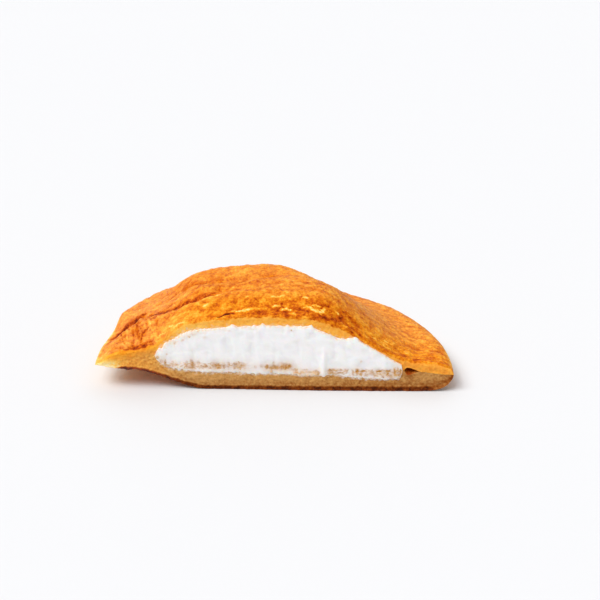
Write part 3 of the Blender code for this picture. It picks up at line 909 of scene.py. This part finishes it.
# Cake crumb dragged into the cream, as soft smudges: x, height, half width, half height, strength
SMUDGES = (
    (-31.5, 9.6, 0.67, 0.49, 0.91), (-30.4, 8.6, 0.62, 0.72, 0.52), (-29.3, 8.1, 0.37, 1.01, 0.98),
    (-28.5, 7.1, 0.91, 0.49, 0.39), (-27.3, 7.9, 0.46, 0.92, 0.49), (-26.3, 7.4, 0.62, 0.58, 0.29),
    (-23.5, 7.7, 0.46, 1.19, 0.49), (-22.8, 6.6, 1.16, 0.49, 0.65), (-22.0, 7.4, 0.46, 1.46, 1.0),
    (-22.3, 8.6, 0.34, 0.58, 0.72), (-20.4, 8.4, 0.5, 0.72, 0.45), (-19.6, 6.9, 0.59, 0.36, 0.42),
    (-18.6, 7.0, 0.79, 0.41, 1.0), (-16.3, 7.3, 0.59, 1.01, 0.49), (-15.1, 7.1, 1.01, 0.92, 1.0),
    (-13.4, 7.2, 0.59, 0.78, 0.49), (-12.2, 7.6, 0.34, 0.87, 0.65), (-9.6, 7.4, 2.08, 1.19, 0.65),
    (-9.5, 6.9, 1.08, 0.54, 0.55), (-8.2, 7.4, 0.67, 0.63, 0.39), (-5.1, 7.0, 0.42, 0.54, 0.39),
    (-3.4, 7.2, 0.59, 0.54, 0.47), (-2.0, 7.0, 0.62, 0.78, 1.0), (-0.7, 6.7, 0.91, 0.49, 0.78),
    (0.6, 6.8, 1.01, 0.63, 1.0), (-0.2, 8.0, 0.34, 0.83, 0.45), (2.1, 6.9, 0.74, 0.72, 1.0),
    (3.1, 6.7, 0.67, 0.63, 1.0), (3.9, 7.3, 0.74, 0.78, 1.0), (2.3, 8.1, 0.62, 0.49, 0.39),
    (-0.8, 5.6, 0.34, 0.83, 0.59), (5.4, 6.2, 1.01, 0.41, 0.55), (6.0, 5.6, 0.42, 0.63, 0.52),
    (7.1, 5.2, 0.29, 0.83, 0.39), (8.3, 6.2, 1.08, 0.27, 0.49), (9.5, 5.5, 1.08, 0.27, 0.52),
    (11.2, 5.7, 0.5, 0.63, 0.52), (11.9, 5.1, 0.37, 0.83, 0.85), (15.6, 6.1, 1.16, 0.45, 0.94),
    (15.5, 5.2, 1.01, 0.49, 0.94), (14.6, 5.6, 0.5, 0.54, 0.59), (17.5, 6.2, 1.01, 0.36, 0.47),
    (17.8, 5.3, 1.16, 0.32, 0.75), (19.3, 6.1, 0.62, 0.49, 0.75), (21.1, 5.5, 0.25, 1.01, 0.65),
    (22.3, 5.8, 0.5, 1.01, 1.0), (23.3, 4.9, 0.46, 0.45, 0.81), (24.0, 5.9, 1.01, 0.36, 0.88),
    (23.4, 8.8, 0.46, 0.36, 0.39), (24.7, 4.7, 0.59, 0.63, 0.42), (26.3, 5.3, 0.84, 0.83, 0.44),
    (28.3, 5.9, 1.01, 0.45, 1.0), (28.7, 5.0, 1.08, 0.32, 0.52), (30.6, 5.9, 0.84, 0.45, 1.0),
    (30.5, 5.0, 0.59, 0.54, 0.91), (32.4, 5.9, 0.42, 1.19, 1.0), (33.2, 6.1, 0.29, 1.19, 0.72),
    (34.0, 5.9, 0.42, 1.01, 0.91), (31.4, 4.3, 0.59, 0.72, 0.59), (27.4, 4.5, 0.7, 0.45, 0.6),
    (29.3, 4.1, 0.6, 0.45, 0.65), (32.7, 4.6, 0.5, 0.5, 0.8), (33.7, 4.8, 0.45, 0.55, 0.8),
    (-15.2, 7.2, 1.3, 0.8, 0.45), (-0.2, 7.0, 1.7, 0.75, 0.6), (3.5, 7.2, 1.5, 1.0, 0.8),
    (-28.9, 10.7, 0.35, 0.4, 0.5), (-26.5, 14.0, 0.5, 0.5, 0.42), (-24.4, 14.9, 0.6, 0.4, 0.3),
    (-22.6, 15.9, 0.6, 0.3, 0.34), (-21.5, 16.5, 0.5, 0.35, 0.4), (-18.6, 15.8, 0.9, 0.5, 0.24),
    (-12.4, 17.8, 1.0, 0.3, 0.32), (-5.8, 18.3, 1.2, 0.3, 0.26), (4.6, 17.9, 0.9, 0.3, 0.26),
)
SMUDGED_RIGHT, RIGHT_FROM = 1.25, 20.0  # how much stronger the smudges are right of that x


def smudged(x, z):
    """Share of cake crumb in the cream: the smudges, wavered by noise and specked, each in a wide weak
    halo, and two rows of specks."""
    wide = x + 0.16 * noise(x, 0, z, (0.8, 1, 0.8), 73, 2)
    high = z + 0.16 * noise(x, 0, z, (0.8, 1, 0.8), 75, 2)
    specks = between(noise(x, 0, z, 0.4, 77, 2), -0.4, 0.2)
    clean = np.ones_like(x)
    for middle, height, half_width, half_height, strength in SMUDGES:
        away = np.hypot((wide - middle) / half_width, (high - height) / half_height)
        core = until(away, 0.3, 1.5)
        amount = strength * (SMUDGED_RIGHT if middle > RIGHT_FROM else 1.0)
        clean *= 1.0 - amount * np.maximum(core * (0.6 + 0.4 * specks), 0.28 * bump(away, 1.8))
    rows = plateau(z - 5.5, 0.7, 0.6) * between(x, 13, 16) + plateau(z - 7.2, 0.7, 0.6) * between(-x, 5, 10)
    return 1.0 - clean * (1.0 - 0.6 * rows * between(noise(x, 0, z, (0.7, 1, 0.4), 79, 3), -0.1, 0.5))


def cream_edges(x, high, low, thick):
    """Lower and upper edge of the cream at the cut, torn by noise, with the peaks and the drip's foot."""
    top = high + thick * along(x, TOP_EDGE)
    top += thick * (0.24 + 0.55 * upper_left(x)) * noise(x, 0, 0, 1.1, 71, 4)
    top += sum(height * bump(x - middle, half) for middle, height, half in PEAKS)
    bottom = low + thick * (along(x, LOW_EDGE) + 0.4 * noise(x, 0, 0, 0.9, 79, 4))
    bottom -= DRIP_LOW * bump(x - DRIP_X, DRIP_HALF)
    return bottom, np.maximum(top, bottom + 0.01)


def cream_relief(x, z, above, crumb, on_drip):
    """How far the cut face bulges, and how much painted shade its sunken places get: folds drawn upright by
    the knife, lumps, ripples along the upper edge, grain in the smudges, and the drip."""
    folds = noise(x + 0.15 * z, 0, z, (2.4, 1, 7.0), 83, 2)
    lumps = noise(x, 0, z, (3.4, 1, 2.2), 89, 2)
    ripples = bump(above, 2.6) * noise(x, 0, z, (1.0, 1, 1.6), 91, 2)
    proud = CREAM_PROUD + 0.12 * folds + 0.09 * lumps + 0.07 * ripples + DRIP_PROUD * on_drip
    proud = proud * (1.0 - 0.3 * crumb) + 0.08 * crumb * noise(x, 0, z, 0.8, 97, 2)
    # Painted shade where folds, lumps and ripples sink in, none on the drip.
    hollow_shade = between(-folds - 1.2 * lumps - 0.5 * ripples, -0.2, 1.0) * (1.0 - on_drip)
    return np.maximum(proud, 0.02), hollow_shade


def cream_thin(x, z, above, below, on_drip):
    """How much cake shows through: flecks along both edges, a haze over the crumb, a smear at the foot."""
    flecks = between(noise(x, 0, z, (0.9, 1, 0.7), 101, 3), -0.1, 0.5)
    left = upper_left(x)
    edge = (0.4 + 0.6 * flecks) * bump(above, 0.45 + 0.55 * left) + 0.8 * flecks * bump(below, 0.6)
    haze = 0.35 * bump(z - 7.3, 1.1) * between(-x, 14, 20) + 0.2 * bump(below - 1.6, 1.2)
    smear = plateau(x - 8.7, 3.2, 0.8) * until(below, 1.2, 1.9) * (0.5 + 0.4 * flecks)
    shown = np.maximum(edge, flecks * left * bump(above, 1.6))
    return np.maximum(shown, haze * (0.4 + flecks) + smear) * (1.0 - on_drip)


def make_cream(material):
    """The filling. Its cut face bulges, and is rounded off towards its torn edges by the square root of 1
    less the 12th power of the way from the middle."""
    x, y, share, bearing = strips(CREAM_HALF_COLUMNS, HIDDEN_ROWS, FILLING_END)
    high, low = filling(share, bearing)
    line = x[0]
    thick = between(high[0] - low[0], 0.0, 0.8)
    bottom, top = cream_edges(line, high[0], low[0], thick)
    z = front_heights(bottom, top, CREAM_ROWS)
    wide = np.broadcast_to(line, z.shape)
    crumb = smudged(wide, z) * thick
    on_drip = bump(line - DRIP_X, DRIP_HALF) * until(z, 8.0, 14.0)
    proud, hollow_shade = cream_relief(wide, z, top - z, crumb, on_drip)
    off_middle = (2.0 * z - top - bottom) / (top - bottom)
    rounding = (1.0 - np.minimum(np.abs(off_middle), 1.0) ** 12) ** 0.5 * between(thick, 0.0, 0.6)
    masks = {"crumb": crumb, "hollow_shade": hollow_shade, "thin": cream_thin(wide, z, top - z, z - bottom, on_drip)}
    front = {"points": joined(wide, -proud * rounding, z), **masks}
    blank = {key: 0.0 * x for key in masks}
    upper, lower = {"points": joined(x, y, high), **blank}, {"points": joined(x, y, low), **blank}
    upper["points"][0], lower["points"][0] = front["points"][-1], front["points"][0]
    return closed_half("cream_filling", upper, lower, front, material)


# -------- crumbs

CRUMB_COUNT, CRUMB_SEED = 80, 5
CRUMB_SIDES, CRUMB_RINGS = 8, 4
CRUMB_SMALLEST, CRUMB_RANGE = 0.06, 0.11  # radius, and what the largest have on top
CRUMB_PROUD = 0.24  # how far before the cut their middles are


def make_crumbs(material):
    """Loose crumbs by the smudges, one mesh: balls of rings between two poles, dented and drawn out."""
    random = np.random.default_rng(CRUMB_SEED)
    x, z, half_width, half_height, strength = np.array(SMUDGES).T
    area = half_width * half_height * strength**2
    spot = random.choice(len(SMUDGES), CRUMB_COUNT, p=area / area.sum())
    away, turned = np.sqrt(random.random(CRUMB_COUNT)), 2.0 * np.pi * random.random(CRUMB_COUNT)
    x = x[spot] + away * half_width[spot] * np.cos(turned)
    z = z[spot] + away * half_height[spot] * np.sin(turned)
    size = CRUMB_SMALLEST + CRUMB_RANGE * random.random(CRUMB_COUNT) ** 2
    centre = joined(x, -CRUMB_PROUD - 0.1 * random.random(CRUMB_COUNT), z)
    turns = np.linspace(0.0, 2.0 * np.pi, CRUMB_SIDES + 1)[:-1]
    turn, tilt = np.meshgrid(turns, np.linspace(-np.pi / 2, np.pi / 2, CRUMB_RINGS + 2)[1:-1])
    ring = joined(np.cos(tilt) * np.cos(turn), np.cos(tilt) * np.sin(turn), np.sin(tilt))
    ball = np.concatenate([[[0.0, 0.0, -1.0]], ring.reshape(-1, 3), [[0.0, 0.0, 1.0]]])
    dents = 1.0 + 0.35 * random.uniform(-1, 1, (CRUMB_COUNT, len(ball), 1))
    stretch = 1.0 + 0.4 * random.random((CRUMB_COUNT, 1, 3))
    points = ball * size[:, None, None] * dents * stretch + centre[:, None]
    numbers = np.arange(CRUMB_RINGS * CRUMB_SIDES).reshape(CRUMB_RINGS, CRUMB_SIDES) + 1
    numbers = np.pad(numbers, ((1, 1), (0, 0)), constant_values=(0, len(ball) - 1))
    numbers = np.concatenate([numbers, numbers[:, :1]], axis=1)
    offsets = len(ball) * np.arange(CRUMB_COUNT)[:, None, None]
    sets = [(faces + offsets).reshape(-1, faces.shape[1]) for faces in grid_faces(numbers)]
    toast = np.repeat(0.05 + 0.35 * random.random(CRUMB_COUNT), len(ball))
    return mesh_object("loose_crumbs", points.reshape(-1, 3), sets, {"toast": toast}, material)


# -------- stage

TABLE_SIDE, TABLE_COLOUR = 10.0, (0.768, 0.771, 0.785, 1.0)  # linear, a little blue
ROOM_LIGHT = 0.41
# Each soft light's watts per square metre, the angle it fills, and its turns about x and y, in degrees
SUNS = {
    "key": (1.39, 30, (28.0, -20.0)),
    "left": (1.36, 30, (10.0, -35.0)),
    "back": (0.66, 70, (-50.0, 0.0)),
}
# The camera's place seen from the middle of the cut at the table, and its own turns, in degrees
CAMERA_DISTANCE, CAMERA_ELEVATION, CAMERA_TURN = 0.650, 28.0, 1.5
CAMERA_PITCH, CAMERA_YAW, CAMERA_LENS = -25.87, 0.81, 144.2


def make_table():
    """A plain white table, far larger than the view."""
    half = TABLE_SIDE / 2
    corners = [(-half, -half, 0.0), (half, -half, 0.0), (half, half, 0.0), (-half, half, 0.0)]
    mesh = bpy.data.meshes.new("table")
    mesh.from_pydata(corners, [], [(0, 1, 2, 3)])
    material, _, shader, _ = new_material("white_table", 0.6, 0.1)
    shader.inputs["Base Color"].default_value = TABLE_COLOUR
    mesh.materials.append(material)
    return add_object("table", mesh)


def make_lights():
    """A white room, two soft suns from the front left and the left, and a weaker one from behind."""
    world = bpy.data.worlds.new("white_room")
    world.use_nodes = True
    feed(world.node_tree, world.node_tree.nodes["Background"], {"Color": WHITE, "Strength": ROOM_LIGHT})
    bpy.context.scene.world = world
    for name, (energy, spread, tilt) in SUNS.items():
        sun = bpy.data.lights.new(name, "SUN")
        sun.energy = energy
        sun.angle = np.radians(spread)
        add_object(name, sun).rotation_euler = np.radians((*tilt, 0.0))


def make_camera():
    """A long lens on the cut, from above."""
    camera = bpy.data.cameras.new("camera")
    camera.lens = CAMERA_LENS
    seat = add_object("camera", camera)
    rise, turn = np.radians((CAMERA_ELEVATION, CAMERA_TURN))
    out = CAMERA_DISTANCE * np.cos(rise)
    seat.location = (out * np.sin(turn), CUT_Y - out * np.cos(turn), CAMERA_DISTANCE * np.sin(rise))
    seat.rotation_euler = np.radians((90.0 + CAMERA_PITCH, 0.0, CAMERA_YAW))
    bpy.context.scene.camera = seat


def main():
    make_camera()
    groups = {"streaks": streaks_group(), "relief": crumb_relief_group()}
    crust, skin = cake_material("browned_crust", groups), cake_material("browned_base", groups)
    top = make_cake("top_cake", 0, dome, crust_shape, top_masks, TOP_ROWS, TOP_TUCK, crust)
    cream = make_cream(cream_material(groups))
    base = make_cake("base_cake", 1, underside, base_shape, base_masks, BASE_ROWS, BASE_TUCK, skin)
    for piece, node, slot in (
        (top, "top_pancake", "browned_crust"),
        (cream, "cream", "whipped_cream"),
        (base, "bottom_pancake", "browned_base"),
    ):
        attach(piece, "root")
        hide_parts(node)
    crumbs = make_crumbs(crumb_material(groups))
    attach(crumbs, "root")
    make_table()
    make_lights()
    bpy.context.scene.view_settings.view_transform = "Standard"


main()
